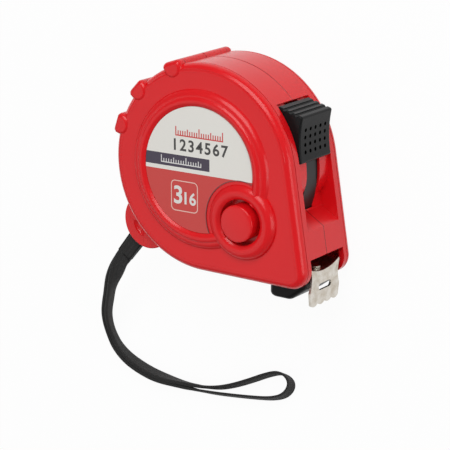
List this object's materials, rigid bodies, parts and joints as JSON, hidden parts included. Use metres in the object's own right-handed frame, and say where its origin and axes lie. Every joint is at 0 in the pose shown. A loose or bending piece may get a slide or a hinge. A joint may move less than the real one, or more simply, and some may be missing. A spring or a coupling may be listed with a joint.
{
  "type": "tape measure",
  "caption": "Round pocket tape measure with a leaning front, sprung steel blade, end hook, thumb lock, side brake button and wrist strap, lying on its plain side.",
  "frame": {"origin": "on the drum axis, in the plane of the flat disc on the back that the tape rests on", "axes": "+X the way the blade runs out of the mouth, +Y up when the case is held with its foot down, +Z from the back to the label, along the drum axis"},
  "size_m": [0.0924, 0.1149, 0.0331],
  "materials": {
    "red_case": "semi-gloss moulded red",
    "label_print": "printed film",
    "black_plastic": "satin",
    "black_rubber": "matte",
    "spring_steel": "plain",
    "blade_paint": "enamel with plain graduations",
    "hook_steel": "nickel plated",
    "grey_plastic": "moulded",
    "strap_band": "woven band"
  },
  "bodies": {
    "case": {"label_side_case": "red_case", "back_side_case": "red_case", "label": "label_print", "bumper_foot": "black_rubber", "case_screws": "spring_steel", "spindle": "grey_plastic", "button_spring": "spring_steel", "strap_peg": "spring_steel", "strap_tab": "strap_band", "strap_neck": "strap_band", "wrist_strap": "strap_band"},
    "drum": {"drum": "grey_plastic", "drum_cover": "grey_plastic", "tape_coil": "blade_paint", "mainspring": "spring_steel"},
    "blade_end": {"tape_blade": "blade_paint", "hook_rivets": "hook_steel"},
    "hook": {"end_hook": "hook_steel"},
    "lock": {"thumb_lock": "black_plastic", "lock_arm": "black_plastic"},
    "button": {"brake_button": "red_case", "brake_pad": "black_rubber"}
  },
  "joints": [
    {"name": "drum_turn", "type": "hinge", "parent": "case", "child": "drum", "pos_m": [0, 0, 0.01525], "axis": [0, 0, 1], "range_deg": [0, 6853.34], "stiffness_Nm_per_rad": 0.00002, "springref_deg": -3437.75, "deforming": ["mainspring"]},
    {"name": "tape_pull", "type": "slide", "parent": "case", "child": "blade_end", "axis": [1, 0, 0], "range_m": [0, 2.98], "deforming": ["tape_blade"]},
    {"name": "hook_play", "type": "slide", "parent": "blade_end", "child": "hook", "axis": [1, 0, 0], "range_m": [0, 0.0008]},
    {"name": "thumb_lock_slide", "type": "hinge", "parent": "case", "child": "lock", "pos_m": [0, 0, 0.01525], "axis": [0, 0, -1], "range_deg": [0, 15]},
    {"name": "button_press", "type": "slide", "parent": "case", "child": "button", "axis": [0, 0, -1], "range_m": [0, 0.0016], "stiffness_N_per_m": 300, "deforming": ["button_spring"]}
  ],
  "couplings": [
    {"joint": "tape_pull", "follows": "drum_turn", "m_per_rad": 0.02475}
  ]
}
